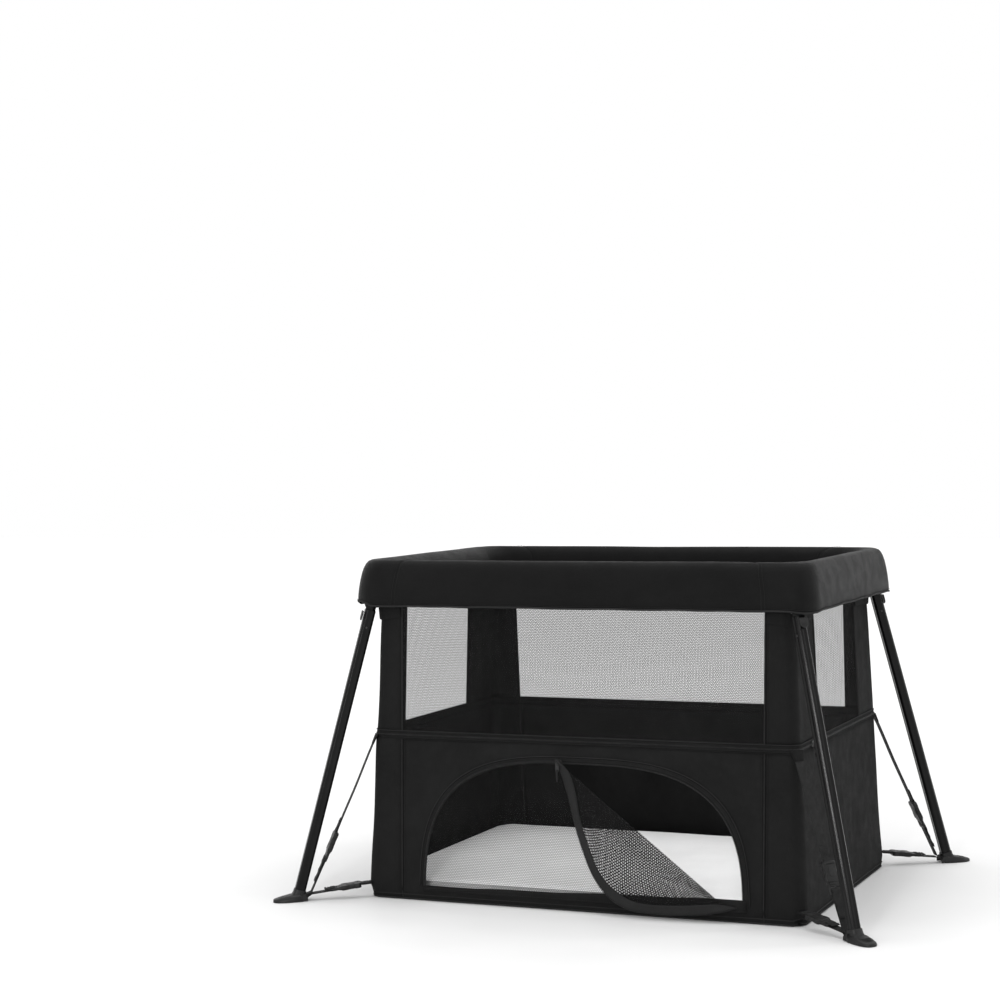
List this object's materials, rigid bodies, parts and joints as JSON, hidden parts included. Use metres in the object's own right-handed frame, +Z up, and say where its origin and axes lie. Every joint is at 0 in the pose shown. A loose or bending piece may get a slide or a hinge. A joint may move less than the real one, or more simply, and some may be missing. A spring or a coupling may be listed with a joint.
{
  "type": "travel playpen",
  "caption": "Portable playpen with a padded rim on splayed folding legs, mesh walls, a zipped crawl door and a lift-out pad.",
  "frame": {"origin": "on the floor, under the centre of the playpen", "axes": "+X along the long side, to the right seen from the front; +Y from the door side to the back; +Z up"},
  "size_m": [1.1968, 0.7966, 0.655],
  "materials": {
    "wall_fabric": "black woven polyester",
    "padded_rim": "black polyester over foam",
    "mesh_net": "black open mesh",
    "frame_tube": "black satin powder coat",
    "plastic": "black moulded, fine grain",
    "steel": "plain",
    "webbing": "black polypropylene webbing",
    "zip": "black zip tape, coil and slider",
    "pad_cloth": "light grey knitted cover",
    "board": "plain fibreboard"
  },
  "bodies": {
    "root": {"rim_cover": "padded_rim", "top_tube_front": "frame_tube", "top_tube_back": "frame_tube", "top_tube_left": "frame_tube", "top_tube_right": "frame_tube", "mesh_front": "mesh_net", "mesh_back": "mesh_net", "mesh_left": "mesh_net", "mesh_right": "mesh_net", "skirt_front": "wall_fabric", "skirt_back": "wall_fabric", "skirt_left": "wall_fabric", "skirt_right": "wall_fabric", "level_zip": "zip", "door_mesh": "mesh_net", "door_zip_slider": "zip", "corner_panel_front_left": "wall_fabric", "corner_hub_front_left": "plastic", "pivot_pin_front_left": "steel", "upper_strap_front_left": "webbing", "lower_strap_front_left": "webbing", "corner_panel_front_right": "wall_fabric", "corner_hub_front_right": "plastic", "pivot_pin_front_right": "steel", "upper_strap_front_right": "webbing", "lower_strap_front_right": "webbing", "corner_panel_back_left": "wall_fabric", "corner_hub_back_left": "plastic", "pivot_pin_back_left": "steel", "upper_strap_back_left": "webbing", "lower_strap_back_left": "webbing", "corner_panel_back_right": "wall_fabric", "corner_hub_back_right": "plastic", "pivot_pin_back_right": "steel", "upper_strap_back_right": "webbing", "lower_strap_back_right": "webbing"},
    "leg_front_left": {"leg_tube_front_left": "frame_tube", "foot_front_left": "plastic", "foot_strap_front_left": "webbing"},
    "button_front_left": {"release_button_front_left": "plastic"},
    "leg_front_right": {"leg_tube_front_right": "frame_tube", "foot_front_right": "plastic", "foot_strap_front_right": "webbing"},
    "button_front_right": {"release_button_front_right": "plastic"},
    "leg_back_left": {"leg_tube_back_left": "frame_tube", "foot_back_left": "plastic", "foot_strap_back_left": "webbing"},
    "button_back_left": {"release_button_back_left": "plastic"},
    "leg_back_right": {"leg_tube_back_right": "frame_tube", "foot_back_right": "plastic", "foot_strap_back_right": "webbing"},
    "button_back_right": {"release_button_back_right": "plastic"},
    "bed": {"floor_tray": "wall_fabric"},
    "pad": {"mattress": "pad_cloth", "base_board": "board"},
    "door": {"door_flap": "mesh_net"},
    "door_pull": {"door_zip_pull": "zip"},
    "level_slider": {"level_zip_slider": "zip"}
  },
  "joints": [
    {"name": "leg_fold_front_left", "type": "hinge", "parent": "root", "child": "leg_front_left", "pos_m": [-0.425, -0.27, 0.572], "axis": [1, 0, 0], "range_deg": [0, 80]},
    {"name": "release_press_front_left", "type": "slide", "parent": "root", "child": "button_front_left", "axis": [0.8154, 0.5789, 0], "range_m": [0, 0.002], "stiffness_N_per_m": 400},
    {"name": "leg_fold_front_right", "type": "hinge", "parent": "root", "child": "leg_front_right", "pos_m": [0.425, -0.27, 0.572], "axis": [1, 0, 0], "range_deg": [0, 80]},
    {"name": "release_press_front_right", "type": "slide", "parent": "root", "child": "button_front_right", "axis": [-0.8154, 0.5789, 0], "range_m": [0, 0.002], "stiffness_N_per_m": 400},
    {"name": "leg_fold_back_left", "type": "hinge", "parent": "root", "child": "leg_back_left", "pos_m": [-0.425, 0.27, 0.572], "axis": [-1, 0, 0], "range_deg": [0, 92]},
    {"name": "release_press_back_left", "type": "slide", "parent": "root", "child": "button_back_left", "axis": [0.8154, -0.5789, 0], "range_m": [0, 0.002], "stiffness_N_per_m": 400},
    {"name": "leg_fold_back_right", "type": "hinge", "parent": "root", "child": "leg_back_right", "pos_m": [0.425, 0.27, 0.572], "axis": [-1, 0, 0], "range_deg": [0, 92]},
    {"name": "release_press_back_right", "type": "slide", "parent": "root", "child": "button_back_right", "axis": [-0.8154, -0.5789, 0], "range_m": [0, 0.002], "stiffness_N_per_m": 400},
    {"name": "bed_lift", "type": "slide", "parent": "root", "child": "bed", "axis": [0, 0, 1], "range_m": [0, 0.298], "deforming": ["skirt_front", "skirt_back", "skirt_left", "skirt_right", "door_mesh"]},
    {"name": "pad_lift_out", "type": "slide", "parent": "bed", "child": "pad", "axis": [0, 0, 1], "range_m": [0, 0.4]},
    {"name": "door_fold", "type": "hinge", "parent": "root", "child": "door", "pos_m": [0.1265, -0.28674, 0.15452], "axis": [0.7954, -0.0324, -0.6052], "range_deg": [-178, 0]},
    {"name": "door_pull_swing", "type": "hinge", "parent": "root", "child": "door_pull", "pos_m": [-0.037, -0.28661, 0.27475], "axis": [1, 0, 0], "range_deg": [-110, 0]},
    {"name": "level_zip_slide", "type": "slide", "parent": "root", "child": "level_slider", "axis": [0, 1, 0], "range_m": [0, 0.38]}
  ]
}
